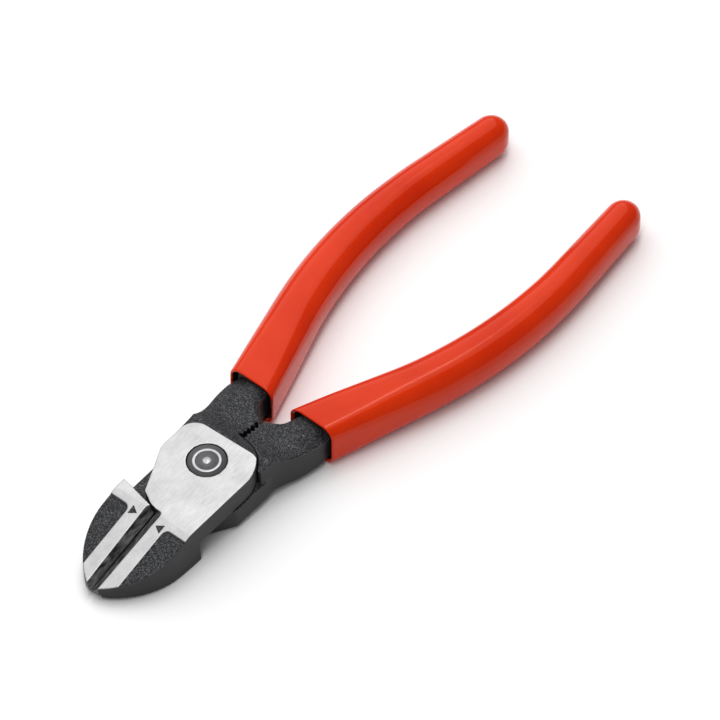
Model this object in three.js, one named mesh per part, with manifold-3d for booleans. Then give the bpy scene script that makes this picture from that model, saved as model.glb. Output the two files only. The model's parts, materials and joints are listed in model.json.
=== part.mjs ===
// Diagonal cutting pliers, 180 mm: two forged halves lapped over each other on one rivet, each
// with a plastic sleeve on its handle. Millimetres, +X toward the jaw tips, +Z up.
//
// Head coordinates: x runs from the rivet toward the tips, z is 0 on the polished boss and
// negative below it. The head points slightly down, so its pieces are tilted once they are made.
// Each half is described by (x, t): t is 0 on the tool's middle line, positive toward the half's
// own jaw and negative toward its own handle.
import * as THREE from "three";
import { mergeVertices } from "three/addons/utils/BufferGeometryUtils.js";
import Module from "manifold-3d";

// Fits between pieces.
const RUNNING_GAP = 0.3;
const CUTTING_EDGE_GAP = 0.1;

// The head.
const HEAD_TILT = THREE.MathUtils.degToRad(4.4);
const HEAD_THICKNESS = 12.7;
const BEYOND_HEAD = 10; // how far cutting shapes reach past the steel
const HEAD_HALF_WIDTH = 12.4;
const PLATE_RADIUS = HEAD_HALF_WIDTH;
const SHOULDER_RADIUS = PLATE_RADIUS + RUNNING_GAP;
const BOSS_REAR = -8.8;
const BOSS_WAIST = 11.8;
const LOWER_PLATE_WAIST = 12.7;

// The jaws.
const TIP_X = 44.4;
const JAW_CREASE_X = 20.2;
const JAW_TOP_DROP_AT_TIP = 6.6;
const JAW_TIP_THICKNESS = 3.2;
const JAW_ROOT_X = 19.3;
const JAW_CURVE_START_X = 24.6;
const GROOVE_HALF_WIDTH_AT_ROOT = 2.4;
const GROOVE_HALF_WIDTH_AT_TIP = 1.8;
const GROOVE_DEPTH_PER_WIDTH = 0.75;
const UNDER_BEVEL_HALF_WIDTH_AT_ROOT = 4.6;
const UNDER_BEVEL_HALF_WIDTH_AT_TIP = 1.9;
const STRIP_OUTER_EDGE = 5.9;
const POCKET_REAR_X = 22.3;
const POCKET_CORNER_RADIUS = 1.6;
const POCKET_DEPTH = 0.4;

// The shanks between the head and the sleeves.
const SHANK_STEP = 1.6;
const SHANK_STEP_REAR = -11.5;
const SHANK_SLOPE_END = -18.5;
const SHANK_END = -26;
const SHANK_FRONT_X = -6.2;
const FIRST_TOOTH_X = -13.1;
const TOOTH_PITCH = 1.4;
const TOOTH_COUNT = 4;
const TOOTH_CREST = 0.35;
const TOOTH_ROOT = 1;

// The rivet, ground flush on both faces.
const RIVET_HEAD_RADIUS = 4.9;
const RIVET_SHANK_RADIUS = 3.6;
const RIVET_HEAD_DEPTH = 1.2;
const RIVET_CONE_DEPTH = 1.3;
const RIVET_FACETS = 48;

// The handles lie along the ground. Their middle line is straight, then bowed, then straight.
const GROUND = -14.2;
const MOUTH = { x: -28, y: 9.95 };
const HANDLE_ANGLE = THREE.MathUtils.degToRad(18.5);
const BOW_START = 27;
const BOW_END = 85;
const BOW_RADIUS = 133;
const HANDLE_LENGTH = 112.8;
const SLEEVE_HALF_WIDTH_AT_MOUTH = 6.75;
const SLEEVE_HALF_WIDTH_AT_END = 4.4;
const SLEEVE_FULLNESS = 0.4; // added to the half width midway along
const SLEEVE_HALF_HEIGHT_AT_MOUTH = 6.4;
const SLEEVE_HALF_HEIGHT_AT_END = 5.8;
const SLEEVE_CORNER_RADIUS_AT_MOUTH = 3.2;
const SLEEVE_CORNER_RADIUS_BEHIND = 5.2;
const SLEEVE_CORNER_GROWTH_LENGTH = 35;
const SLEEVE_WALL = 1.1;
const SLEEVE_LIP_ROUND = 0.5;
const SLEEVE_END_ROUND = 5;
const SLEEVE_CAVITY_END = 104;
const TANG_START = -3;
const TANG_END = 102;
const MOUTH_TURN_LENGTH = 9;

const wasm = await Module();
wasm.setup();

function toSolid(geometry) {
  const bare = geometry.clone();
  bare.deleteAttribute("normal");
  bare.deleteAttribute("uv");
  const merged = mergeVertices(bare, 1e-4);
  return new wasm.Manifold(
    new wasm.Mesh({
      numProp: 3,
      vertProperties: merged.attributes.position.array,
      triVerts: new Uint32Array(merged.index.array),
    }),
  );
}

function toGeometry(solid) {
  const mesh = solid.getMesh();
  const geometry = new THREE.BufferGeometry();
  geometry.setAttribute("position", new THREE.BufferAttribute(mesh.vertProperties, 3));
  geometry.setIndex(new THREE.BufferAttribute(mesh.triVerts, 1));
  return geometry;
}

// An upright prism over a plan outline of [x, y] points.
function prism(outline, bottom, top) {
  const shape = new THREE.Shape(outline.map(([x, y]) => new THREE.Vector2(x, y)));
  const geometry = new THREE.ExtrudeGeometry(shape, { depth: top - bottom, bevelEnabled: false });
  return toSolid(geometry.translate(0, 0, bottom));
}

// A prism over a side outline of [x, z] points, as wide as the whole tool.
function sidePrism(outline) {
  const width = 8 * BEYOND_HEAD;
  const shape = new THREE.Shape(outline.map(([x, z]) => new THREE.Vector2(x, z)));
  const geometry = new THREE.ExtrudeGeometry(shape, { depth: width, bevelEnabled: false });
  return toSolid(geometry.rotateX(Math.PI / 2).translate(0, width / 2, 0));
}

// A closed skin over rings of points. Every ring runs counterclockwise seen from the last ring.
function loft(rings) {
  const size = rings[0].length;
  const positions = rings.flat().flatMap((point) => [point.x, point.y, point.z]);
  const triangles = [];
  for (let ring = 0; ring + 1 < rings.length; ring += 1) {
    for (let i = 0; i < size; i += 1) {
      const here = ring * size + i;
      const beside = ring * size + ((i + 1) % size);
      triangles.push(here, beside, beside + size, here, beside + size, here + size);
    }
  }
  const lastRing = (rings.length - 1) * size;
  for (let i = 1; i + 1 < size; i += 1) {
    triangles.push(0, i + 1, i);
    triangles.push(lastRing, lastRing + i, lastRing + i + 1);
  }
  const geometry = new THREE.BufferGeometry();
  geometry.setAttribute("position", new THREE.Float32BufferAttribute(positions, 3));
  geometry.setIndex(triangles);
  return toSolid(geometry);
}

function arc(centreX, centreY, radius, fromDegrees, toDegrees, steps) {
  return Array.from({ length: steps + 1 }, (_, i) => {
    const angle = THREE.MathUtils.degToRad(fromDegrees + ((toDegrees - fromDegrees) * i) / steps);
    return [centreX + radius * Math.cos(angle), centreY + radius * Math.sin(angle)];
  });
}

// Turns (x, t) points into (x, y) points of a half whose jaw lies toward jawSide * Y.
const onSide = (outline, jawSide) => outline.map(([x, t]) => [x, t * jawSide]);

// ---- The head ----

// The outer edge of a half from its shank forward to the rear of its plate.
const shankOuterEdge = [
  [SHANK_END, -15.4],
  [-21.3, -15],
  [-17.5, -14.2],
  [-14.2, -13.3],
  [-9.5, -12.4],
];

// The plate lapped over the other half. waist is its half width beside the rivet.
const plateOutline = (waist) => [
  [JAW_CURVE_START_X, CUTTING_EDGE_GAP / 2],
  [JAW_CURVE_START_X, HEAD_HALF_WIDTH],
  ...arc(0, 0, PLATE_RADIUS, 90, 180, 18),
  [-13, -TOOTH_ROOT],
  [-16, -TOOTH_ROOT - 1],
  [-16, -12],
  [-9.5, -12.4],
  [-5.6, -waist],
  [4.5, -waist],
  [10.9, -8.6],
  [16.9, -4.8],
  [18.9, -1.9],
  [JAW_ROOT_X, CUTTING_EDGE_GAP / 2],
];

// The cheek of a jaw is one arc, tangent to the side of the head and running out at the tip.
function jawOutline() {
  const tipHalfWidth = 0.7;
  const run = TIP_X - JAW_CURVE_START_X;
  const rise = HEAD_HALF_WIDTH - tipHalfWidth;
  const radius = (run * run + rise * rise) / (2 * rise);
  const tipAngle = THREE.MathUtils.radToDeg(Math.acos(run / radius));
  return [
    [JAW_ROOT_X + RUNNING_GAP, CUTTING_EDGE_GAP / 2],
    [TIP_X, CUTTING_EDGE_GAP / 2],
    ...arc(JAW_CURVE_START_X, HEAD_HALF_WIDTH - radius, radius, tipAngle, 90, 16),
    [17.1, HEAD_HALF_WIDTH],
    [19.2, 1.9],
  ];
}

// The middle of a half's shank, whose inner edge carries the teeth. The teeth of the two halves
// stand half a pitch apart, so they mesh with a gap between them.
function shankOutline(toothShift) {
  const teeth = [];
  for (let tooth = 0; tooth < TOOTH_COUNT; tooth += 1) {
    const x = FIRST_TOOTH_X - (tooth + toothShift) * TOOTH_PITCH;
    teeth.push([x, -TOOTH_ROOT], [x - TOOTH_PITCH / 2, -TOOTH_CREST]);
  }
  return [
    ...arc(0, 0, SHOULDER_RADIUS, 241, 184, 12),
    ...teeth,
    [-20, -TOOTH_ROOT],
    [-22.2, -3.2],
    [-24, -4.2],
    [SHANK_END, -4.6],
    ...shankOuterEdge,
    [SHANK_FRONT_X, -BOSS_WAIST],
  ];
}

// Height, in head coordinates, of a level plane lying at the given height over the part's frame.
const levelAt = (x, height) => (height + x * Math.sin(HEAD_TILT)) / Math.cos(HEAD_TILT);

const tangHalfHeight = SLEEVE_HALF_HEIGHT_AT_MOUTH - SLEEVE_WALL - RUNNING_GAP;
const handleMiddle = GROUND + SLEEVE_HALF_HEIGHT_AT_MOUTH;

// The side view of the plate and shank. The steps lower the top face and raise the bottom face of
// a shank where it stands beside the other half's plate.
function shankSideOutline(topStep, bottomStep) {
  const rear = SHANK_END - BEYOND_HEAD;
  const front = JAW_CURVE_START_X + BEYOND_HEAD;
  const slopeEnd = SHANK_SLOPE_END;
  const top = handleMiddle + tangHalfHeight;
  const bottom = handleMiddle - tangHalfHeight;
  return [
    [front, -topStep],
    [topStep > 0 ? SHANK_STEP_REAR : BOSS_REAR, -topStep],
    [slopeEnd, levelAt(slopeEnd, top)],
    [rear, levelAt(rear, top)],
    [rear, levelAt(rear, bottom)],
    [slopeEnd, levelAt(slopeEnd, bottom)],
    [BOSS_REAR, -HEAD_THICKNESS + bottomStep],
    [front, -HEAD_THICKNESS + bottomStep],
  ];
}

const jawTopAt = (x) => (-JAW_TOP_DROP_AT_TIP * (x - JAW_CREASE_X)) / (TIP_X - JAW_CREASE_X);
const jawBottomAt = (x) => {
  const rise = HEAD_THICKNESS - JAW_TOP_DROP_AT_TIP - JAW_TIP_THICKNESS;
  return -HEAD_THICKNESS + (rise * (x - JAW_CREASE_X)) / (TIP_X - JAW_CREASE_X);
};

const along = (x, atRoot, atTip) =>
  THREE.MathUtils.mapLinear(x, JAW_ROOT_X, TIP_X, atRoot, atTip);

// Everything above the sloping top face of the jaws, lowered by the given depth.
function aboveJawTop(depth) {
  const far = TIP_X + BEYOND_HEAD;
  return sidePrism([
    [JAW_CREASE_X, -depth],
    [far, jawTopAt(far) - depth],
    [far, BEYOND_HEAD],
    [JAW_CREASE_X, BEYOND_HEAD],
  ]);
}

function belowJawBottom() {
  const far = TIP_X + BEYOND_HEAD;
  const low = -HEAD_THICKNESS - BEYOND_HEAD;
  return sidePrism([
    [JAW_CREASE_X, low],
    [far, low],
    [far, jawBottomAt(far)],
    [JAW_CREASE_X, -HEAD_THICKNESS],
  ]);
}

const cuttingEdgeAt = (x) =>
  jawTopAt(x) -
  along(x, GROOVE_HALF_WIDTH_AT_ROOT, GROOVE_HALF_WIDTH_AT_TIP) * GROOVE_DEPTH_PER_WIDTH;

// The wedge ground off the +Y jaw between its cutting edge and one of its faces. Its sections
// run on past the middle line and past the face, so it leaves no skin behind.
function bevel(halfWidthAt, faceAt) {
  const beyondMiddle = -1;
  const beyondFace = 1.5;
  const front = TIP_X + BEYOND_HEAD / 4;
  return [JAW_ROOT_X - RUNNING_GAP * 2, front].map((x) => {
    const edge = cuttingEdgeAt(x);
    const outer = halfWidthAt(x) * beyondFace;
    const outerHeight = edge + (faceAt(x) - edge) * beyondFace;
    return [
      new THREE.Vector3(x, beyondMiddle, edge),
      new THREE.Vector3(x, CUTTING_EDGE_GAP / 2, edge),
      new THREE.Vector3(x, outer, outerHeight),
      new THREE.Vector3(x, beyondMiddle, outerHeight),
    ];
  });
}

// Mirrors sections to the -Y side. Sections must run counterclockwise seen from the tip, so a
// mirrored one is reversed.
const mirrored = (sections) =>
  sections.map((section) =>
    section.map(({ x, y, z }) => new THREE.Vector3(x, -y, z)).reverse(),
  );

function topBevel(jawSide) {
  const halfWidthAt = (x) => along(x, GROOVE_HALF_WIDTH_AT_ROOT, GROOVE_HALF_WIDTH_AT_TIP);
  const sections = bevel(halfWidthAt, jawTopAt);
  return loft(jawSide > 0 ? sections : mirrored(sections));
}

// Below the cutting edge the corners come in the opposite turning order, so they are reversed.
function underBevel(jawSide) {
  const halfWidthAt = (x) =>
    along(x, UNDER_BEVEL_HALF_WIDTH_AT_ROOT, UNDER_BEVEL_HALF_WIDTH_AT_TIP);
  const sections = bevel(halfWidthAt, jawBottomAt).map((corners) => corners.reverse());
  return loft(jawSide > 0 ? sections : mirrored(sections));
}

// The shallow forged pocket outside the strip along the groove.
function pocket(jawSide) {
  const cornerX = POCKET_REAR_X + POCKET_CORNER_RADIUS;
  const cornerT = STRIP_OUTER_EDGE + POCKET_CORNER_RADIUS;
  const outline = [
    [TIP_X, STRIP_OUTER_EDGE],
    [TIP_X, HEAD_HALF_WIDTH + 1],
    [POCKET_REAR_X, HEAD_HALF_WIDTH + 1],
    ...arc(cornerX, cornerT, POCKET_CORNER_RADIUS, 180, 270, 6),
  ];
  const block = prism(onSide(outline, jawSide), -HEAD_THICKNESS, BEYOND_HEAD);
  return block.intersect(aboveJawTop(POCKET_DEPTH));
}

function rivetProfile(clearance) {
  const head = RIVET_HEAD_RADIUS + clearance;
  const shank = RIVET_SHANK_RADIUS + clearance;
  const face = clearance > 0 ? BEYOND_HEAD : 0;
  const headEnd = RIVET_HEAD_DEPTH;
  const coneEnd = RIVET_HEAD_DEPTH + RIVET_CONE_DEPTH;
  return [
    [0, -HEAD_THICKNESS - face],
    [head, -HEAD_THICKNESS - face],
    [head, -HEAD_THICKNESS + headEnd],
    [shank, -HEAD_THICKNESS + coneEnd],
    [shank, -coneEnd],
    [head, -headEnd],
    [head, face],
    [0, face],
  ].map(([radius, z]) => new THREE.Vector2(radius, z));
}

const rivet = (clearance) =>
  toSolid(new THREE.LatheGeometry(rivetProfile(clearance), RIVET_FACETS).rotateX(Math.PI / 2));

const tilted = (solid) => toSolid(toGeometry(solid).rotateY(HEAD_TILT));

// The forged head of one half: jaw, plate and shank in one piece, with the rivet's hole.
function headOfHalf({ jawSide, waist, plateBottom, plateTop, topStep, bottomStep, toothShift }) {
  const plate = prism(onSide(plateOutline(waist), jawSide), plateBottom, plateTop)
    .intersect(sidePrism(shankSideOutline(0, 0)));
  const shank = prism(onSide(shankOutline(toothShift), jawSide), GROUND * 2, 0)
    .intersect(sidePrism(shankSideOutline(topStep, bottomStep)));
  const jaw = prism(onSide(jawOutline(), jawSide), -HEAD_THICKNESS, 0);
  const head = plate
    .add(shank)
    .add(jaw)
    .subtract(aboveJawTop(0))
    .subtract(belowJawBottom())
    .subtract(topBevel(jawSide))
    .subtract(underBevel(jawSide))
    .subtract(pocket(jawSide))
    .subtract(rivet(RUNNING_GAP));
  return tilted(head);
}

// ---- The handles ----

// The middle line of a handle on the +Y side, by distance from the mouth of its sleeve.
function handlePath(distance) {
  const front = Math.min(distance, BOW_START);
  const rear = Math.max(distance - BOW_END, 0);
  const bowed = distance - front - rear;
  const angle = HANDLE_ANGLE - bowed / BOW_RADIUS;
  const bowX = BOW_RADIUS * (Math.sin(HANDLE_ANGLE) - Math.sin(angle));
  const bowY = BOW_RADIUS * (Math.cos(angle) - Math.cos(HANDLE_ANGLE));
  return {
    x: MOUTH.x - front * Math.cos(HANDLE_ANGLE) - bowX - rear * Math.cos(angle),
    y: MOUTH.y + front * Math.sin(HANDLE_ANGLE) + bowY + rear * Math.sin(angle),
    angle,
  };
}

// One ring round a handle. inset shrinks the sleeve's outside to the ring wanted. The sleeve's
// mouth faces straight forward, so rings turn square to the middle line only behind it.
function handleRing(distance, side, inset) {
  const { x, y, angle } = handlePath(distance);
  const taper = THREE.MathUtils.mapLinear(distance, 0, HANDLE_LENGTH, SLEEVE_HALF_WIDTH_AT_MOUTH,
    SLEEVE_HALF_WIDTH_AT_END);
  const fullness = SLEEVE_FULLNESS * Math.sin((Math.PI * distance) / HANDLE_LENGTH);
  const halfWidth = taper + fullness - inset;
  const sleeveHalfHeight = THREE.MathUtils.mapLinear(distance, 0, HANDLE_LENGTH,
    SLEEVE_HALF_HEIGHT_AT_MOUTH, SLEEVE_HALF_HEIGHT_AT_END);
  const halfHeight = sleeveHalfHeight - inset;
  const growth = THREE.MathUtils.smoothstep(distance, 0, SLEEVE_CORNER_GROWTH_LENGTH);
  const sleeveRadius = THREE.MathUtils.lerp(SLEEVE_CORNER_RADIUS_AT_MOUTH,
    SLEEVE_CORNER_RADIUS_BEHIND, growth);
  const radius = Math.min(Math.max(sleeveRadius - inset * 0.6, 0.6), halfWidth * 0.95,
    halfHeight * 0.95);
  const middle = GROUND + sleeveHalfHeight;
  const turn = THREE.MathUtils.smoothstep(distance, 0, MOUTH_TURN_LENGTH);
  const facing = angle * turn;
  const stretch = 1 / Math.cos(angle - facing);
  const corners = [
    ...arc(halfWidth - radius, halfHeight - radius, radius, 0, 90, 5),
    ...arc(radius - halfWidth, halfHeight - radius, radius, 90, 180, 5),
    ...arc(radius - halfWidth, radius - halfHeight, radius, 180, 270, 5),
    ...arc(halfWidth - radius, radius - halfHeight, radius, 270, 360, 5),
  ];
  const ring = corners.map(
    ([across, up]) =>
      new THREE.Vector3(
        x + across * stretch * Math.sin(facing),
        side * (y + across * stretch * Math.cos(facing)),
        middle + up,
      ),
  );
  return side > 0 ? ring.reverse() : ring;
}

function stations(from, to, spacing) {
  const count = Math.ceil((to - from) / spacing);
  return Array.from({ length: count + 1 }, (_, i) => from + ((to - from) * i) / count);
}

function tang(side) {
  const inset = SLEEVE_WALL + RUNNING_GAP;
  return loft(stations(TANG_START, TANG_END, 4.5).map((at) => handleRing(at, side, inset)));
}

// The sleeve: closed and rounded at its far end, open at its mouth.
function sleeve(side) {
  const roundStart = HANDLE_LENGTH - SLEEVE_END_ROUND;
  const lip = [0, 30, 60].map((degrees) => {
    const angle = THREE.MathUtils.degToRad(degrees);
    return [SLEEVE_LIP_ROUND * (1 - Math.cos(angle)), SLEEVE_LIP_ROUND * (1 - Math.sin(angle))];
  });
  const end = [15, 30, 45, 60, 75, 84].map((degrees) => {
    const angle = THREE.MathUtils.degToRad(degrees);
    const inset = SLEEVE_HALF_WIDTH_AT_END * (1 - Math.cos(angle));
    return [roundStart + SLEEVE_END_ROUND * Math.sin(angle), inset];
  });
  const body = stations(SLEEVE_LIP_ROUND, roundStart, 4).map((at) => [at, 0]);
  const outside = [...lip, ...body, ...end].map(([at, inset]) => handleRing(at, side, inset));
  const cavity = stations(-1, SLEEVE_CAVITY_END, 4.5).map((at) =>
    handleRing(at, side, SLEEVE_WALL),
  );
  return loft(outside).subtract(loft(cavity));
}

// ---- The assembly ----

const middlePlane = -HEAD_THICKNESS / 2;

// The upper half has the +Y jaw and the -Y handle, the lower half the other two.
const upperHalf = headOfHalf({
  jawSide: 1,
  waist: BOSS_WAIST,
  plateBottom: middlePlane + RUNNING_GAP / 2,
  plateTop: 0,
  topStep: 0,
  bottomStep: SHANK_STEP,
  toothShift: 0,
}).add(tang(-1));

const lowerHalf = headOfHalf({
  jawSide: -1,
  waist: LOWER_PLATE_WAIST,
  plateBottom: -HEAD_THICKNESS,
  plateTop: middlePlane - RUNNING_GAP / 2,
  topStep: SHANK_STEP,
  bottomStep: 0,
  toothShift: 0.5,
}).add(tang(1));

const steel = { colour: 0x55575a, roughness: 0.5, metalness: 0.9 };
const plastic = { colour: 0xd2301c, roughness: 0.3, metalness: 0 };

const pieces = [
  { name: "upper_half", solid: upperHalf, material: steel },
  { name: "lower_half", solid: lowerHalf, material: steel },
  { name: "pivot_rivet", solid: tilted(rivet(0)), material: steel },
  { name: "upper_half_sleeve", solid: sleeve(-1), material: plastic },
  { name: "lower_half_sleeve", solid: sleeve(1), material: plastic },
];

const group = new THREE.Group();
group.name = "diagonal_cutting_pliers";
for (const { name, solid, material } of pieces) {
  const mesh = new THREE.Mesh(
    toGeometry(solid),
    new THREE.MeshStandardMaterial({
      color: material.colour,
      roughness: material.roughness,
      metalness: material.metalness,
    }),
  );
  mesh.name = name;
  group.add(mesh);
}

// The part stands on z = 0 with the middle of its bounding box over the origin.
const box = new THREE.Box3().setFromObject(group);
group.position.set(-(box.min.x + box.max.x) / 2, -(box.min.y + box.max.y) / 2, -box.min.z);

export default group;
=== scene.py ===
"""Diagonal cutting pliers: forged and ground steel halves on a flush rivet, with plastic sleeves.

Shapes are made in millimetres and brought into the part's frame, in metres, at the end.
Head coordinates: x runs from the rivet toward the jaw tips, z is 0 on the polished boss and
negative below it. A half is drawn in (x, t): t is positive toward its own jaw and negative
toward its own handle, and jaw_side turns t into y.
"""

import json
import math

import bmesh
import bpy
from mathutils import Matrix, Vector


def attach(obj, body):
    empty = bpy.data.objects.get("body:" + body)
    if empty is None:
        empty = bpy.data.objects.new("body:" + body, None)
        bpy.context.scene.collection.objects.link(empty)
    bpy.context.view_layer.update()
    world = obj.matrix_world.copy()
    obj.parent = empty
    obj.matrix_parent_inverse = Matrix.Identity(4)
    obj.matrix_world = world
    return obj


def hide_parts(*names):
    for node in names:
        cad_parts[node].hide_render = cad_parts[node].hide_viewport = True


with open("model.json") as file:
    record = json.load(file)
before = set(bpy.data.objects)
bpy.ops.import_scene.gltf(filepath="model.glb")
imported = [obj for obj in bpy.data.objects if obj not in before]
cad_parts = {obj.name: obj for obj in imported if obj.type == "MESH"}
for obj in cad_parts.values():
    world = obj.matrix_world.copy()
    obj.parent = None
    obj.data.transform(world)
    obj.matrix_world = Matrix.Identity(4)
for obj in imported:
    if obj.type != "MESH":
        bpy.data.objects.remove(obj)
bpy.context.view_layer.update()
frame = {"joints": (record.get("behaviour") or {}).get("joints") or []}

MM = 0.001

# The grid on which the forged halves are fused, and how often their edges are smoothed.
FORGE_GRID, FORGE_SMOOTHINGS = ((0.2, 4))

# The head, as in the CAD.
HEAD_THICKNESS = 12.7
HEAD_HALF_WIDTH = 12.4
RUNNING_GAP = 0.3
CUTTING_EDGE_GAP = 0.1
PLATE_RADIUS = HEAD_HALF_WIDTH
SHOULDER_RADIUS = PLATE_RADIUS + RUNNING_GAP
MIDDLE_PLANE = -HEAD_THICKNESS / 2
BOSS_REAR = -8.8
BOSS_WAIST = 11.8
BRIGHT_REAR = -8.3
BRIGHT_REAR_SLANT = 0.04
BRIGHT_OUTER_CORNER = 4.6
BRIGHT_JAW_CORNER = 4.5
LOWER_PLATE_WAIST = 12.7
SHANK_STEP = 1.6
SHANK_SLOPE_END = -18.5
SHANK_REAR = -31
SHANK_OUTER_FALL = 2.4
SHANK_FRONT_X = -6.2

# The jaws.
TIP_X = 44.4
TIP_HALF_WIDTH = 0.7
JAW_CREASE_X = 20.2
JAW_ROOT_X = 19.3
JAW_CURVE_START_X = 24.6
JAW_TOP_DROP = 6.6
JAW_TIP_THICKNESS = 3.2
GROOVE_HALF_WIDTHS = (2.4, 1.8)
GROOVE_DEPTH_PER_WIDTH = 0.75
UNDER_BEVEL_HALF_WIDTHS = (4.6, 1.9)
STRIP_OUTER_EDGE = 5.9
POCKET_REAR_X = 22.3
POCKET_CORNER_RADIUS = 1.6
POCKET_DEPTH = 0.4
MARK_X = 22.9
MARK_HALF_WIDTH = 1.3
MARK_LENGTH = 2.15
MARK_BASE_T = 5.2

# The teeth between the shanks.
FIRST_TOOTH_X = -13.1
TOOTH_PITCH = 1.4
TOOTH_COUNT = 5
TOOTH_CREST = 0.35
TOOTH_ROOT = 1.0

# The rivet.
RIVET_HEAD_RADIUS = 4.9
RIVET_SHANK_RADIUS = 3.6
RIVET_HEAD_DEPTH = 1.2
RIVET_CONE_DEPTH = 1.3

# The handles, in millimetres from the rivet in the part's frame.
GROUND = -14.2
MOUTH_X = -28.0
MOUTH_Y = 9.95
HANDLE_ANGLE = math.radians(18.5)
BOW_START = 27.0
BOW_END = 85.0
BOW_RADIUS = 133.0
HANDLE_LENGTH = 112.8
HALF_WIDTHS = (6.75, 4.4)
FULLNESS = 0.4
HALF_HEIGHTS = (6.4, 5.8)
CORNER_RADII = (3.2, 5.2)
CORNER_GROWTH_LENGTH = 35.0
SLEEVE_WALL = 1.1
SLEEVE_LIP_ROUND = 0.35
SLEEVE_END_ROUND = 5.0
SLEEVE_CAVITY_END = 104.0
TANG_START = 2.0
TANG_END = 102.0
MOUTH_TURN_LENGTH = 9.0
WITHIN_CAD = 0.01

hinge = frame["joints"][0]
hinge_axis = Vector(hinge["axis"])
HEAD_TILT = math.atan2(hinge_axis.x, hinge_axis.z)
rivet_middle = Vector(hinge["pos_m"]) / MM
boss_centre = rivet_middle + hinge_axis * (HEAD_THICKNESS / 2)
HEAD_TO_PART = Matrix.Translation(boss_centre) @ Matrix.Rotation(HEAD_TILT, 4, "Y")
HANDLE_TO_PART = Matrix.Translation(boss_centre)


def mix(a, b, share):
    """The value at a share of the way from a to b."""
    return a + (b - a) * share


def smoothstep(value):
    share = min(max(value, 0.0), 1.0)
    return share * share * (3 - 2 * share)


# ---- Mesh tools ----


def new_object(name, mesh):
    piece = bpy.data.objects.new(name, mesh)
    bpy.context.scene.collection.objects.link(piece)
    return piece


def mesh_from(name, points, faces):
    mesh = bpy.data.meshes.new(name)
    mesh.from_pydata(points, [], faces)
    tidy = bmesh.new()
    tidy.from_mesh(mesh)
    bmesh.ops.recalc_face_normals(tidy, faces=tidy.faces)
    tidy.to_mesh(mesh)
    tidy.free()
    return mesh


def loft(name, rings):
    """A closed skin over rings that all have the same number of points."""
    size = len(rings[0])
    points = [point for ring in rings for point in ring]
    faces = [list(range(size)), list(range(len(points) - size, len(points)))]
    for ring in range(len(rings) - 1):
        for i in range(size):
            here, beside = ring * size + i, ring * size + (i + 1) % size
            faces.append([here, beside, beside + size, here + size])
    return new_object(name, mesh_from(name, points, faces))


def prism(name, outline, bottom, top):
    return loft(name, [[(x, y, z) for x, y in outline] for z in (bottom, top)])


def side_prism(name, outline):
    """A cutter seen from the side, wide enough to reach past the whole head."""
    half_width = 40
    return loft(name, [[(x, y, z) for x, z in outline] for y in (-half_width, half_width)])


def arc(centre_x, centre_y, radius, start, end, steps):
    """Points along an arc, from the start angle to the end angle in degrees."""
    angles = [math.radians(mix(start, end, i / steps)) for i in range(steps + 1)]
    return [(centre_x + radius * math.cos(a), centre_y + radius * math.sin(a)) for a in angles]


def circle(radius):
    """Points round a full circle, in steps of three degrees."""
    return arc(0, 0, radius, 0, 360 - 3, 119)


def on_side(outline, jaw_side):
    """Brings an outline drawn in (x, t) to the side of the half's own jaw."""
    return [(x, t * jaw_side) for x, t in outline]


def apply_modifiers(piece):
    graph = bpy.context.evaluated_depsgraph_get()
    mesh = bpy.data.meshes.new_from_object(piece.evaluated_get(graph))
    old = piece.data
    piece.modifiers.clear()
    piece.data = mesh
    bpy.data.meshes.remove(old)


def combine(piece, other, operation):
    """Applies a boolean with another solid, which is used up."""
    modifier = piece.modifiers.new("combine", "BOOLEAN")
    modifier.operation = operation
    modifier.solver = "EXACT"
    modifier.object = other
    apply_modifiers(piece)
    bpy.data.objects.remove(other)
    return piece


def cut(piece, *cutters):
    for cutter in cutters:
        combine(piece, cutter, "DIFFERENCE")
    return piece


def joined(name, pieces):
    """One mesh of several closed shells."""
    merged = bmesh.new()
    for piece in pieces:
        merged.from_mesh(piece.data)
        bpy.data.objects.remove(piece)
    mesh = bpy.data.meshes.new(name)
    merged.to_mesh(mesh)
    merged.free()
    return new_object(name, mesh)


def forge(piece):
    """Fuses overlapping shells into one skin with softly rounded edges."""
    remesh = piece.modifiers.new("fuse", "REMESH")
    remesh.mode = "VOXEL"
    remesh.voxel_size = FORGE_GRID
    smooth = piece.modifiers.new("round", "SMOOTH")
    smooth.factor = 0.5
    smooth.iterations = FORGE_SMOOTHINGS
    apply_modifiers(piece)


def place(piece, matrix):
    """Moves a finished piece from millimetres to the part's frame and smooths its shading."""
    piece.data.transform(Matrix.Scale(MM, 4) @ matrix)
    for polygon in piece.data.polygons:
        polygon.use_smooth = True
    piece.data.update()
    return piece


# ---- Materials ----


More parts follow.
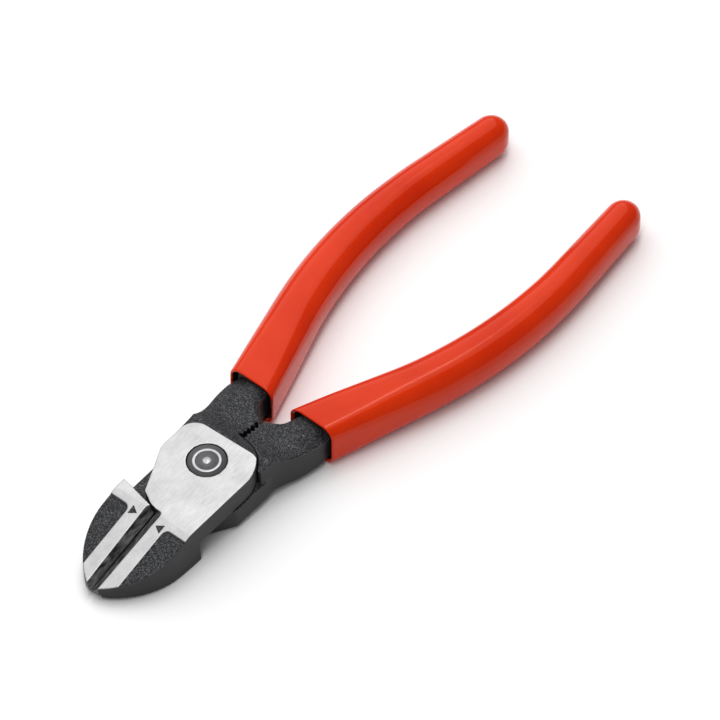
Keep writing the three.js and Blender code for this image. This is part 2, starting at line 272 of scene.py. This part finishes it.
class Shader:
    """A material with the small node chains that the finishes below share."""

    def __init__(self, name):
        self.material = bpy.data.materials.new(name)
        self.material.use_nodes = True
        self.nodes = self.material.node_tree.nodes
        self.links = self.material.node_tree.links
        self.nodes.remove(self.nodes["Principled BSDF"])
        self.coordinates = self.nodes.new("ShaderNodeTexCoord").outputs["Object"]

    def start(self, **sockets):
        """Begins a finish: the chains that follow lead into a new Principled node."""
        self.surface = self.nodes.new("ShaderNodeBsdfPrincipled")
        for socket, value in sockets.items():
            self.surface.inputs[socket.replace("_", " ")].default_value = value

    def show(self, surface):
        self.links.new(surface, self.nodes["Material Output"].inputs["Surface"])
        return self.material

    def held(self, name):
        """A value held on the mesh's vertices."""
        attribute = self.nodes.new("ShaderNodeAttribute")
        attribute.attribute_name = name
        return attribute.outputs["Fac"]

    def blend(self, under, over, distance, softness):
        """Shows one finish where a distance held on the mesh is positive, and the other elsewhere."""
        mixer = self.nodes.new("ShaderNodeMixShader")
        share = self.remapped(self.held(distance), 0.0, 1.0, -softness, softness)
        self.links.new(share, mixer.inputs["Fac"])
        self.links.new(under, mixer.inputs[1])
        self.links.new(over, mixer.inputs[2])
        return mixer.outputs["Shader"]

    def stretched(self, scale):
        mapping = self.nodes.new("ShaderNodeMapping")
        mapping.inputs["Scale"].default_value = scale
        self.links.new(self.coordinates, mapping.inputs["Vector"])
        return mapping.outputs["Vector"]

    def noise(self, scale, stretch=(1, 1, 1), detail=3.0, roughness=0.5):
        texture = self.nodes.new("ShaderNodeTexNoise")
        texture.inputs["Scale"].default_value = scale
        texture.inputs["Detail"].default_value = detail
        texture.inputs["Roughness"].default_value = roughness
        self.links.new(self.stretched(stretch), texture.inputs["Vector"])
        return texture.outputs["Fac"]

    def grains(self, scale):
        texture = self.nodes.new("ShaderNodeTexVoronoi")
        texture.inputs["Scale"].default_value = scale
        self.links.new(self.coordinates, texture.inputs["Vector"])
        return texture.outputs["Color"]

    def ramp(self, source, stops):
        ramp = self.nodes.new("ShaderNodeValToRGB")
        elements = ramp.color_ramp.elements
        while len(elements) < len(stops):
            elements.new(0.5)
        for element, (position, colour) in zip(elements, stops):
            element.position = position
            element.color = (*colour, 1.0)
        self.links.new(source, ramp.inputs["Fac"])
        return ramp.outputs["Color"]

    def remapped(self, source, low, high, source_low=0.3, source_high=0.7):
        remap = self.nodes.new("ShaderNodeMapRange")
        remap.inputs["From Min"].default_value = source_low
        remap.inputs["From Max"].default_value = source_high
        remap.inputs["To Min"].default_value = low
        remap.inputs["To Max"].default_value = high
        self.links.new(source, remap.inputs["Value"])
        return remap.outputs["Result"]

    def colour(self, source):
        self.links.new(source, self.surface.inputs["Base Color"])

    def roughness(self, source):
        self.links.new(source, self.surface.inputs["Roughness"])

    def bump(self, source, height, strength):
        bump = self.nodes.new("ShaderNodeBump")
        bump.inputs["Strength"].default_value = strength
        bump.inputs["Distance"].default_value = height
        self.links.new(source, bump.inputs["Height"])
        earlier = self.surface.inputs["Normal"].links
        if earlier:
            self.links.new(earlier[0].from_socket, bump.inputs["Normal"])
        self.links.new(bump.outputs["Normal"], self.surface.inputs["Normal"])

    def convex(self, sharpness):
        """The convex edges of the mesh."""
        pointiness = self.nodes.new("ShaderNodeNewGeometry").outputs["Pointiness"]
        return self.remapped(pointiness, 0.0, 1.0, 0.5 + sharpness, 0.5 + sharpness * 3)

    def rim(self):
        """The narrow rounding that leads from an upright wall to a level face."""
        return self.remapped(self.held("facing"), 0.0, 0.8, -0.4, -0.1)

    def edge_wear_and_highlight(self, source, edge_colour, edge):
        """Lightens the edges: real wear where handling rubs the oxide off the steel, and a painted
        highlight along the vinyl's ridges and lip.
        """
        blend = self.nodes.new("ShaderNodeMix")
        blend.data_type = "RGBA"
        self.links.new(edge, blend.inputs["Factor"])
        self.links.new(source, blend.inputs["A"])
        blend.inputs["B"].default_value = (*edge_colour, 1.0)
        return blend.outputs["Result"]


def polished_steel(shader):
    """Ground bright steel with fine lines along the tool and soft cloudy patches."""
    shader.start(Metallic=1.0)
    lines = shader.noise(2400, (0.1, 1, 1), 4.0, 0.7)
    clouds = shader.noise(170, (1, 1, 1), 4.0, 0.6)
    tone = shader.ramp(clouds, [(0.3, (0.37, 0.37, 0.37)), (0.7, (0.46, 0.46, 0.46))])
    shade = shader.ramp(lines, [(0.35, (0.76, 0.76, 0.76)), (0.62, (1, 1, 1))])
    streaks = shader.nodes.new("ShaderNodeMix")
    streaks.data_type = "RGBA"
    streaks.blend_type = "MULTIPLY"
    streaks.inputs["Factor"].default_value = 0.6
    shader.links.new(tone, streaks.inputs["A"])
    shader.links.new(shade, streaks.inputs["B"])
    shader.colour(streaks.outputs["Result"])
    shader.roughness(shader.remapped(lines, 0.30, 0.44))
    shader.bump(lines, 0.00002, 0.35)
    return shader.surface.outputs["BSDF"]


def grained_oxide(shader):
    """Black oxide over a shot-blasted forging: tiny grains of random tone, the brightest of which are
    painted highlights standing in for glints.
    """
    shader.start(Metallic=0.4, Specular_IOR_Level=0.35)
    grains = shader.grains(4700)
    # The top stop paints glints into the colour as painted highlights; the lower stops are the
    # oxide's own tone.
    tone = shader.ramp(grains, [(0.1, (0.007, 0.007, 0.008)), (0.55, (0.019, 0.020, 0.022)),
                                (0.95, (0.125, 0.125, 0.135))])
    shader.colour(shader.edge_wear_and_highlight(tone, (0.14, 0.14, 0.15), shader.convex(0.03)))
    shader.roughness(shader.remapped(shader.noise(1200), 0.50, 0.72))
    shader.bump(shader.noise(2600, detail=4.0, roughness=0.7), 0.00007, 0.8)
    return shader.surface.outputs["BSDF"]


def smooth_oxide(shader):
    """Black oxide over a ground side wall: even and slightly silky."""
    shader.start(Metallic=0.4, Specular_IOR_Level=0.4)
    clouds = shader.noise(420, (0.5, 0.5, 1.5), 4.0, 0.6)
    tone = shader.ramp(clouds, [(0.3, (0.020, 0.020, 0.022)), (0.7, (0.034, 0.034, 0.036))])
    shader.colour(shader.edge_wear_and_highlight(tone, (0.10, 0.10, 0.11), shader.rim()))
    shader.roughness(shader.remapped(clouds, 0.42, 0.58))
    shader.bump(shader.noise(1500, (0.3, 0.3, 1)), 0.00003, 0.35)
    return shader.surface.outputs["BSDF"]


def ground_groove(shader):
    """The ground bevels of the cutting edges: a dark base that is painted shade, and wavy marks from
    the wheel whose lighter streaks are painted highlights.
    """
    shader.start(Metallic=0.9)
    chatter_and_highlights = shader.noise(330, (0.7, 2.2, 2.2), 2.0, 0.5)
    # Painted shade and highlight: the dark stop stands for the bevels' shade, and the light stop for
    # highlight streaks along the wheel's marks.
    tone = shader.ramp(chatter_and_highlights, [(0.35, (0.032, 0.032, 0.031)), (0.68, (0.20, 0.198, 0.195))])
    shader.colour(tone)
    shader.roughness(shader.remapped(chatter_and_highlights, 0.28, 0.5))
    shader.bump(chatter_and_highlights, 0.00025, 0.6)
    return shader.surface.outputs["BSDF"]


def forged_steel():
    """The head's finishes, divided by the distances that mark_finishes holds on the mesh."""
    shader = Shader("forged_steel")
    look = shader.blend(smooth_oxide(shader), grained_oxide(shader), "facing", 0.12)
    look = shader.blend(look, ground_groove(shader), "groove", 0.04)
    return shader.show(shader.blend(look, polished_steel(shader), "bright", 0.03))


def plain(name, finish):
    shader = Shader(name)
    return shader.show(finish(shader))


def glossy_vinyl(shader):
    """Orange-red dipped vinyl: gloss over slow ripples, a little scuffed, and a lighter orange on its
    convex edges that is a painted highlight.
    """
    shader.start(Metallic=0.0, Specular_IOR_Level=0.3,
                 Specular_Tint=(1.0, 0.62, 0.45, 1.0))
    clouds = shader.noise(60, (1, 1, 1), 3.0, 0.5)
    tone = shader.ramp(clouds, [(0.3, (0.58, 0.020, 0.001)), (0.7, (0.66, 0.030, 0.002))])
    # The lighter orange on the convex edges is a painted highlight along the ridges and the lip.
    shader.colour(shader.edge_wear_and_highlight(tone, (0.78, 0.09, 0.03), shader.convex(0.05)))
    scuffs = shader.noise(500, (0.3, 1, 1), 5.0, 0.65)
    shader.roughness(shader.remapped(scuffs, 0.09, 0.16, 0.35, 0.65))
    shader.bump(shader.noise(90, (0.4, 1, 1), 2.0), 0.0002, 0.10)
    return shader.surface.outputs["BSDF"]


def painted_mouth_shade(shader):
    """Painted shade for the inside of the sleeves' mouths, where the gap round the tang lies in
    shadow: black, matt and a little uneven.
    """
    shader.start(Metallic=0.0, Specular_IOR_Level=0.2)
    clouds = shader.noise(700, detail=4.0)
    shader.colour(shader.ramp(clouds, [(0.3, (0.006, 0.006, 0.006)), (0.7, (0.016, 0.015, 0.015))]))
    shader.roughness(shader.remapped(clouds, 0.65, 0.85))
    shader.bump(clouds, 0.00004, 0.4)
    return shader.surface.outputs["BSDF"]


def white_paper(shader):
    """The floor: matt white with hardly any texture."""
    shader.start(Metallic=0.0, Specular_IOR_Level=0.1)
    shader.colour(shader.ramp(shader.noise(3, detail=2.0), [(0.3, (0.93, 0.93, 0.93)),
                                                           (0.7, (0.95, 0.95, 0.95))]))
    shader.roughness(shader.remapped(shader.noise(8), 0.85, 0.95))
    return shader.surface.outputs["BSDF"]


head_steel = forged_steel()
tang_steel = plain("oxide_steel", grained_oxide)
rivet_steel = plain("grained_steel", grained_oxide)
inlay_steel = plain("bright_steel", polished_steel)
vinyl = plain("glossy_vinyl", glossy_vinyl)
# Black painted shade for the shadowed gap inside the sleeves' mouths.
mouth_shade_material = plain("painted_mouth_shade", painted_mouth_shade)


# ---- The head of one half ----

SHANK_OUTER_EDGE = [(-31.0, 16.0), (-28.5, 15.6), (-26.0, 15.55), (-21.3, 15.0), (-17.5, 14.2),
                    (-14.2, 13.3), (-9.5, 12.4), (4.3, 11.6)]
SHANK_INNER_EDGE = [(-31.0, 5.8), (-28.5, 4.9), (-26.0, 4.6), (-24.0, 4.3), (-22.6, 3.7),
                    (-21.3, 2.3), (-20.2, 0.9), (-19.6, 0.35), (4.3, 0.35)]


def along_edge(edge, x):
    """A smooth value between the points of an edge given as (x, value) pairs."""
    for i in range(len(edge) - 1):
        (x0, v0), (x1, v1) = edge[i], edge[i + 1]
        if x <= x1:
            break
    before = edge[max(i - 1, 0)]
    after = edge[min(i + 2, len(edge) - 1)]
    slope0 = (v1 - before[1]) / (x1 - before[0])
    slope1 = (after[1] - v0) / (after[0] - x0)
    s = (x - x0) / (x1 - x0)
    rise = v1 - v0
    width = x1 - x0
    return (v0 + s * width * slope0 + s * s * (3 * rise - (2 * slope0 + slope1) * width)
            + s * s * s * ((slope0 + slope1) * width - 2 * rise))


def plate_outline(waist):
    """The plate lapped over the other half. waist is its half width beside the rivet."""
    front = CUTTING_EDGE_GAP / 2
    return [
        (JAW_CURVE_START_X, front),
        (JAW_CURVE_START_X, HEAD_HALF_WIDTH),
        *arc(0, 0, PLATE_RADIUS, 90, 181, 60),
        (-13.4, -TOOTH_ROOT - 1),
        (-13.4, -12.4),
        (-9.5, -12.4),
        (-7.5, -mix(12.4, waist, 0.7)),
        (-5.6, -waist),
        (3.3, -waist),
        *arc(3.6, 1.6 - waist, 1.6, 276, 302, 5),
        (10.9, -8.5),
        *arc(14.9, -3.9, 2.6, 304, 336, 5),
        (18.9, -1.9),
        (JAW_ROOT_X, front),
    ]


def jaw_outline():
    """One arc from the side of the head to the tip, and a shoulder facing the other plate."""
    run = TIP_X - JAW_CURVE_START_X
    rise = HEAD_HALF_WIDTH - TIP_HALF_WIDTH
    radius = (run * run + rise * rise) / (2 * rise)
    tip_angle = math.degrees(math.acos(run / radius))
    return [
        (JAW_ROOT_X + RUNNING_GAP, CUTTING_EDGE_GAP / 2),
        (TIP_X, CUTTING_EDGE_GAP / 2),
        *arc(JAW_CURVE_START_X, HEAD_HALF_WIDTH - radius, radius, tip_angle, 90, 60),
        (17.1, HEAD_HALF_WIDTH),
        (19.2, 1.9),
    ]


def jaw_top(x):
    return -JAW_TOP_DROP * (x - JAW_CREASE_X) / (TIP_X - JAW_CREASE_X)


def jaw_bottom(x):
    rise = HEAD_THICKNESS - JAW_TOP_DROP - JAW_TIP_THICKNESS
    return -HEAD_THICKNESS + rise * (x - JAW_CREASE_X) / (TIP_X - JAW_CREASE_X)


def jaw_width(x, widths):
    return mix(*widths, (x - JAW_ROOT_X) / (TIP_X - JAW_ROOT_X))


def cutting_edge_height(x):
    return jaw_top(x) - jaw_width(x, GROOVE_HALF_WIDTHS) * GROOVE_DEPTH_PER_WIDTH


def above_jaw_top(depth):
    far = TIP_X + 10
    return side_prism("above", [(JAW_CREASE_X, -depth), (far, jaw_top(far) - depth), (far, 10),
                                (JAW_CREASE_X, 10)])


def below_jaw_bottom():
    far = TIP_X + 10
    low = -HEAD_THICKNESS - 10
    return side_prism("below", [(JAW_CREASE_X, low), (far, low), (far, jaw_bottom(far)),
                                (JAW_CREASE_X, -HEAD_THICKNESS)])


def bevel(jaw_side, widths, face_height):
    """The wedge ground off between the cutting edge and one face of a jaw."""
    beyond = 1.5
    rings = []
    for x in (JAW_ROOT_X, TIP_X + 2):
        edge = cutting_edge_height(x)
        outer = jaw_width(x, widths) * beyond
        outer_height = edge + (face_height(x) - edge) * beyond
        corners = [(-1, edge), (CUTTING_EDGE_GAP / 2, edge), (outer, outer_height),
                   (-1, outer_height)]
        rings.append([(x, t * jaw_side, z) for t, z in corners])
    return loft("bevel", rings)


def pocket(jaw_side):
    corner_x = POCKET_REAR_X + POCKET_CORNER_RADIUS
    corner_t = STRIP_OUTER_EDGE + POCKET_CORNER_RADIUS
    outline = [
        (TIP_X, STRIP_OUTER_EDGE),
        (TIP_X, HEAD_HALF_WIDTH + 1),
        (POCKET_REAR_X, HEAD_HALF_WIDTH + 1),
        *arc(corner_x, corner_t, POCKET_CORNER_RADIUS, 180, 270, 8),
    ]
    block = prism("pocket", on_side(outline, jaw_side), -HEAD_THICKNESS, 5)
    return combine(block, above_jaw_top(POCKET_DEPTH), "INTERSECT")


def level_at(x, height):
    """Height in head coordinates of a level plane at the given height in the part's frame."""
    return (height + x * math.sin(HEAD_TILT)) / math.cos(HEAD_TILT)


def shank_top(x, step):
    tang_top = GROUND + HALF_HEIGHTS[0] * 2 - SLEEVE_WALL - RUNNING_GAP
    share = min(max((BOSS_REAR - x) / (BOSS_REAR - SHANK_SLOPE_END), 0), 1)
    eased = 1 - (1 - share) ** 2
    return min(mix(0, level_at(SHANK_SLOPE_END, tang_top), eased), -step,
               level_at(x, tang_top) if x < SHANK_SLOPE_END else 0)


def shank_bottom(x, step):
    tang_bottom = GROUND + SLEEVE_WALL + RUNNING_GAP
    share = smoothstep((BOSS_REAR - x) / (BOSS_REAR - SHANK_SLOPE_END))
    low = level_at(min(x, SHANK_SLOPE_END), tang_bottom)
    return mix(-HEAD_THICKNESS + step, low, share)


def shank(jaw_side, top_step, bottom_step):
    """The shank as rings square to the x axis, whose top falls away outward near the sleeve."""
    rings = []
    stations = 70
    for i in range(stations + 1):
        x = mix(SHANK_REAR, 0, i / stations)
        neck = 0.3 * smoothstep((-24 - x) / 4)
        outer = along_edge(SHANK_OUTER_EDGE, x) - neck
        inner = along_edge(SHANK_INNER_EDGE, x) + neck
        top = shank_top(x, top_step) - neck
        bottom = shank_bottom(x, bottom_step) + neck
        fall = SHANK_OUTER_FALL * smoothstep((BOSS_REAR - x) / (BOSS_REAR - SHANK_REAR))
        outer_round = mix(0.4, 0.8, smoothstep((-12 - x) / 14))
        inner_round = mix(0.3, 2.2, smoothstep((-20 - x) / 5))
        crown_end = mix(outer, inner, 0.65)
        crown = [
            (mix(outer - outer_round, crown_end, share), top - fall * (1 - share) ** 2)
            for share in (0.2, 0.4, 0.6, 0.8, 1.0)
        ]
        corners = [
            *arc(outer - outer_round, top - fall - outer_round, outer_round, 0, 90, 4),
            *crown,
            *arc(inner + inner_round, top - inner_round, inner_round, 90, 180, 6),
            *arc(inner + inner_round, bottom + inner_round, inner_round, 180, 270, 6),
            *arc(outer - outer_round, bottom + outer_round, outer_round, 270, 360, 6),
        ]
        rings.append([(x, -t * jaw_side, z) for t, z in corners])
    return loft("shank", rings)


def teeth_gap(jaw_side, shift):
    """The zigzag slot that is cut out of a shank's inner edge."""
    outline = [(-11.5, 3), (-11.5, -TOOTH_ROOT)]
    for tooth in range(TOOTH_COUNT):
        x = FIRST_TOOTH_X - (tooth + shift) * TOOTH_PITCH
        outline += [(x, -TOOTH_ROOT), (x - TOOTH_PITCH / 2, -TOOTH_CREST)]
    outline += [(outline[-1][0], 3)]
    return prism("teeth", on_side(outline, jaw_side), -20, 5)


def round_prism(radius, bottom, top):
    return prism("round", circle(radius), bottom, top)


def rivet_rings(clearance, reach):
    """Two heads on a thinner shank, cleared all round and lengthened by reach at each end."""
    head = RIVET_HEAD_RADIUS + clearance
    neck = RIVET_SHANK_RADIUS + clearance
    low = -HEAD_THICKNESS
    neck_depth = RIVET_HEAD_DEPTH + RIVET_CONE_DEPTH
    profile = [(head, low - reach), (head, low + RIVET_HEAD_DEPTH), (neck, low + neck_depth),
               (neck, -neck_depth), (head, -RIVET_HEAD_DEPTH), (head, reach)]
    return [[(x, y, z) for x, y in circle(radius)] for radius, z in profile]


def rivet_hole():
    return loft("hole", rivet_rings(RUNNING_GAP, 1))


def head_of_half(name, jaw_side, waist, plate_levels, other_levels, top_step, bottom_step, shift):
    plate = prism("plate", on_side(plate_outline(waist), jaw_side), *plate_levels)
    falling = side_prism("falling", [
        (60, -20), (60, 5), (BOSS_REAR + 5, 5), (BOSS_REAR, 0),
        *[(BOSS_REAR - step * 0.5, shank_top(BOSS_REAR - step * 0.5, 0)) for step in range(1, 12)],
        (BOSS_REAR - 5.5, -20),
    ])
    combine(plate, falling, "INTERSECT")
    bar = shank(jaw_side, top_step, bottom_step)
    shoulder = round_prism(SHOULDER_RADIUS, *other_levels)
    beside_plate = prism("beside", [(SHANK_FRONT_X, -20), (20, -20), (20, 20), (SHANK_FRONT_X, 20)],
                         *other_levels)
    cut(bar, teeth_gap(jaw_side, shift), shoulder, beside_plate, rivet_hole())
    jaw = prism("jaw", on_side(jaw_outline(), jaw_side), -HEAD_THICKNESS, 0)
    front = combine(plate, jaw, "UNION")
    cut(
        front,
        above_jaw_top(0),
        below_jaw_bottom(),
        bevel(jaw_side, GROOVE_HALF_WIDTHS, jaw_top),
        bevel(jaw_side, UNDER_BEVEL_HALF_WIDTHS, jaw_bottom),
        pocket(jaw_side),
        rivet_hole(),
    )
    head = joined(name, [front, bar])
    forge(head)
    mark_finishes(head, jaw_side)
    head.data.materials.append(head_steel)
    return head


def from_pocket(x, t):
    """Distance in plan from the pocket of a jaw, negative inside it."""
    across_x = POCKET_REAR_X + POCKET_CORNER_RADIUS - x
    across_t = STRIP_OUTER_EDGE + POCKET_CORNER_RADIUS - t
    if across_x > 0 and across_t > 0:
        return math.hypot(across_x, across_t) - POCKET_CORNER_RADIUS
    return max(across_x, across_t) - POCKET_CORNER_RADIUS


def from_mark(x, t):
    """Distance in plan from the small triangle etched at the rear of a jaw's bright strip."""
    depth = MARK_BASE_T - t
    slant = math.hypot(MARK_HALF_WIDTH, MARK_LENGTH)
    from_side = abs(x - MARK_X) * MARK_LENGTH - (MARK_LENGTH - depth) * MARK_HALF_WIDTH
    return max(-depth, from_side / slant)


def inside_boss(x, t):
    """Distance in plan from the slightly slanted rear of the bright boss, whose corners are round."""
    inside = x - BRIGHT_REAR + t * BRIGHT_REAR_SLANT
    outer_corner = BRIGHT_OUTER_CORNER - BOSS_WAIST
    jaw_corner = math.sqrt((PLATE_RADIUS - BRIGHT_JAW_CORNER) ** 2
                           - (BRIGHT_REAR + BRIGHT_JAW_CORNER) ** 2)
    for beyond, radius in ((outer_corner - t, BRIGHT_OUTER_CORNER),
                           (t - jaw_corner, BRIGHT_JAW_CORNER)):
        if beyond > 0 and inside < radius:
            inside = min(inside, radius - math.hypot(radius - inside, beyond))
    return inside


def brightness(x, t, z):
    """Distance inside the polished faces, negative where the steel is black."""
    skin = 0.12
    if x < JAW_CREASE_X:
        on_top = min(z + skin, inside_boss(x, t))
        on_underside = min(-HEAD_THICKNESS + skin - z, inside_boss(x, t))
    else:
        on_top = min(z - jaw_top(x) + skin, from_pocket(x, t), from_mark(x, t),
                     t - jaw_width(x, GROOVE_HALF_WIDTHS))
        on_underside = JAW_CREASE_X - x
    return max(on_top, on_underside)


def groove_depth(x, t, z):
    """Distance inside the ground bevels of a jaw's cutting edge."""
    widths = GROOVE_HALF_WIDTHS if z > cutting_edge_height(x) else UNDER_BEVEL_HALF_WIDTHS
    return min(jaw_width(x, widths) - t, x - JAW_ROOT_X, t + 1)


def mark_finishes(piece, jaw_side):
    """Holds on each vertex how far it lies inside each finish, which the material reads."""
    attributes = piece.data.attributes
    bright = attributes.new("bright", "FLOAT", "POINT")
    groove = attributes.new("groove", "FLOAT", "POINT")
    facing = attributes.new("facing", "FLOAT", "POINT")
    for index, vertex in enumerate(piece.data.vertices):
        x, y, z = vertex.co
        bright.data[index].value = brightness(x, y * jaw_side, z)
        groove.data[index].value = groove_depth(x, y * jaw_side, z)
        facing.data[index].value = abs(vertex.normal.z) - 0.55


# ---- The handles ----


def handle_path(distance):
    """The middle line of the +Y handle: its x, y and heading at a distance from the mouth."""
    front = min(distance, BOW_START)
    rear = max(distance - BOW_END, 0)
    angle = HANDLE_ANGLE - (distance - front - rear) / BOW_RADIUS
    x = MOUTH_X - front * math.cos(HANDLE_ANGLE) - rear * math.cos(angle)
    y = MOUTH_Y + front * math.sin(HANDLE_ANGLE) + rear * math.sin(angle)
    x -= BOW_RADIUS * (math.sin(HANDLE_ANGLE) - math.sin(angle))
    y += BOW_RADIUS * (math.cos(angle) - math.cos(HANDLE_ANGLE))
    return x, y, angle


def handle_ring(distance, side, inset, steps):
    x, y, angle = handle_path(distance)
    share = distance / HANDLE_LENGTH
    fullness = FULLNESS * math.sin(math.pi * share)
    half_width = mix(*HALF_WIDTHS, share) + fullness - inset - WITHIN_CAD
    full_height = mix(*HALF_HEIGHTS, share)
    half_height = full_height - inset
    radius = mix(*CORNER_RADII, smoothstep(distance / CORNER_GROWTH_LENGTH)) - inset * 0.6
    radius = min(max(radius, 0.6), half_width * 0.95, half_height * 0.95)
    facing = angle * smoothstep(distance / MOUTH_TURN_LENGTH)
    stretch = 1 / math.cos(angle - facing)
    across, up = half_width - radius, half_height - radius
    corners = [
        *arc(across, up, radius, 0, 90, steps),
        *arc(-across, up, radius, 90, 180, steps),
        *arc(-across, -up, radius, 180, 270, steps),
        *arc(across, -up, radius, 270, 360, steps),
    ]
    return [
        (
            x + a * stretch * math.sin(facing),
            side * (y + a * stretch * math.cos(facing)),
            GROUND + full_height + u,
        )
        for a, u in corners
    ]


def spaced(start, end, spacing):
    count = math.ceil((end - start) / spacing)
    return [mix(start, end, i / count) for i in range(count + 1)]


def tang(side):
    inset = SLEEVE_WALL + RUNNING_GAP + 0.3
    return loft("tang", [handle_ring(d, side, inset, 4) for d in spaced(TANG_START, TANG_END, 3)])


def sleeve(name, side):
    """The sleeve's outside, its rolled lip, and its inside, as one skin."""
    lip = [(SLEEVE_LIP_ROUND * (1 - math.sin(a)), SLEEVE_LIP_ROUND * (1 - math.cos(a)))
           for a in (math.radians(d) for d in (90, 60, 30, 0))]
    start = HANDLE_LENGTH - SLEEVE_END_ROUND
    end = [(start + SLEEVE_END_ROUND * math.sin(a), HALF_WIDTHS[1] * (1 - math.cos(a)))
           for a in (math.radians(d) for d in range(6, 90, 6))]
    outside = lip + [(d, 0) for d in spaced(0.8, start, 1)] + end
    inside = [(0.05, 0.5), (0.6, 0.75), (1.5, 0.95)]
    inside += [(d, SLEEVE_WALL) for d in spaced(2.5, SLEEVE_CAVITY_END, 3)]
    rings = [handle_ring(d, side, inset, 7) for d, inset in reversed(inside)]
    rings += [handle_ring(d, side, inset, 7) for d, inset in outside]
    piece = loft(name, rings)
    piece.data.materials.append(vinyl)
    piece.data.materials.append(mouth_shade_material)
    faces_per_ring = len(rings[0])
    first_outside = len(inside) - 2
    # The inside of the mouth takes the black painted shade; the rest takes the vinyl.
    for index, polygon in enumerate(piece.data.polygons):
        ring = (index - 2) // faces_per_ring
        polygon.material_index = 1 if index == 0 or 0 <= ring < first_outside else 0
    return piece


# ---- The rivet ----


def rivet():
    """A flush rivet, a hair shorter than the head is thick."""
    pin = loft("pivot_rivet_detail", rivet_rings(0, -0.04))
    pin.data.materials.append(rivet_steel)
    return pin


def inlay(name, inner, outer):
    """A thin bright ring, or a disc when inner is 0, standing just proud of the rivet's head."""
    low, high = -0.3, -0.005
    edge = 0.03
    profile = [(outer, low), (outer, high - edge), (outer - edge, high)]
    if inner > 0:
        profile += [(inner + edge, high), (inner, high - edge), (inner, low)]
    rings = [[(x, y, z) for x, y in circle(radius)] for radius, z in profile]
    if inner > 0:
        rings.append(rings[0])
    piece = loft(name, rings)
    if inner > 0:
        closing = bmesh.new()
        closing.from_mesh(piece.data)
        bmesh.ops.delete(closing, geom=[f for f in closing.faces if len(f.verts) > 4],
                         context="FACES_ONLY")
        bmesh.ops.remove_doubles(closing, verts=closing.verts, dist=1e-5)
        bmesh.ops.recalc_face_normals(closing, faces=closing.faces)
        closing.to_mesh(piece.data)
        closing.free()
    piece.data.materials.append(inlay_steel)
    return piece


# ---- The assembly ----

gap = RUNNING_GAP / 2
upper_plate = (MIDDLE_PLANE + gap, 0)
lower_plate = (-HEAD_THICKNESS, MIDDLE_PLANE - gap)

upper = head_of_half("upper_half_steel", 1, BOSS_WAIST, upper_plate, (-20, MIDDLE_PLANE + gap),
                     0, SHANK_STEP, 0)
lower = head_of_half("lower_half_steel", -1, LOWER_PLATE_WAIST, lower_plate,
                     (MIDDLE_PLANE - gap, 5), SHANK_STEP, 0, 0.5)

for head, jaw_side, body, node in (
    (upper, 1, "upper", "upper_half"),
    (lower, -1, "lower", "lower_half"),
):
    place(head, HEAD_TO_PART)
    core = tang(-jaw_side)
    core.name = node + "_tang"
    core.data.materials.append(tang_steel)
    place(core, HANDLE_TO_PART)
    for piece in (head, core):
        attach(piece, body)
        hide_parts(node)
    grip = place(sleeve(node + "_sleeve_skin", -jaw_side), HANDLE_TO_PART)
    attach(grip, body)
    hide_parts(node + "_sleeve")

for piece in (rivet(), inlay("rivet_ring", 3.0, 3.7), inlay("rivet_dot", 0, 1.1)):
    place(piece, HEAD_TO_PART)
    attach(piece, "lower")
    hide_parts("pivot_rivet")


# ---- The studio ----


def floor():
    reach = 3.0
    points = [(-reach, -reach, 0), (reach, -reach, 0), (reach, reach, 0), (-reach, reach, 0)]
    ground = new_object("floor", mesh_from("floor", points, [[0, 1, 2, 3]]))
    ground.data.materials.append(plain("white_paper", white_paper))


def area_light(name, place_at, aim, size, radiance):
    """A rectangular softbox given by its radiance, so that its size only sets how far it wraps."""
    width, height = size
    lamp = bpy.data.lights.new(name, "AREA")
    lamp.shape = "RECTANGLE"
    lamp.size = width
    lamp.size_y = height
    lamp.energy = radiance * width * height * math.pi
    holder = bpy.data.objects.new(name, lamp)
    holder.location = place_at
    holder.rotation_euler = (Vector(aim) - Vector(place_at)).to_track_quat("-Z", "Y").to_euler()
    bpy.context.scene.collection.objects.link(holder)


def camera(aim, azimuth, elevation, distance, lens):
    direction = Vector((
        math.sin(azimuth) * math.cos(elevation),
        -math.cos(azimuth) * math.cos(elevation),
        math.sin(elevation),
    ))
    data = bpy.data.cameras.new("camera")
    data.lens = lens
    data.clip_end = 20
    holder = bpy.data.objects.new("camera", data)
    holder.location = Vector(aim) + direction * distance
    holder.rotation_euler = (-direction).to_track_quat("-Z", "Y").to_euler()
    bpy.context.scene.collection.objects.link(holder)
    bpy.context.scene.camera = holder


def studio_world():
    world = bpy.data.worlds.new("studio")
    world.use_nodes = True
    background = world.node_tree.nodes["Background"]
    background.inputs["Color"].default_value = (1, 1, 1, 1)
    background.inputs["Strength"].default_value = 0.28
    bpy.context.scene.world = world


floor()
studio_world()
area_light("back_softbox", (-0.2, -0.6, 1.0), (0, 0, 0), (2.2, 1.8), 1.45)
area_light("top_strip", (0.1, 0.05, 0.9), (0, 0, 0), (0.16, 1.6), 4.8)
camera((-0.0078, 0.0024, 0.006), math.radians(131.0), math.radians(49.0), 4.0, 799)
bpy.context.scene.view_settings.view_transform = "Standard"
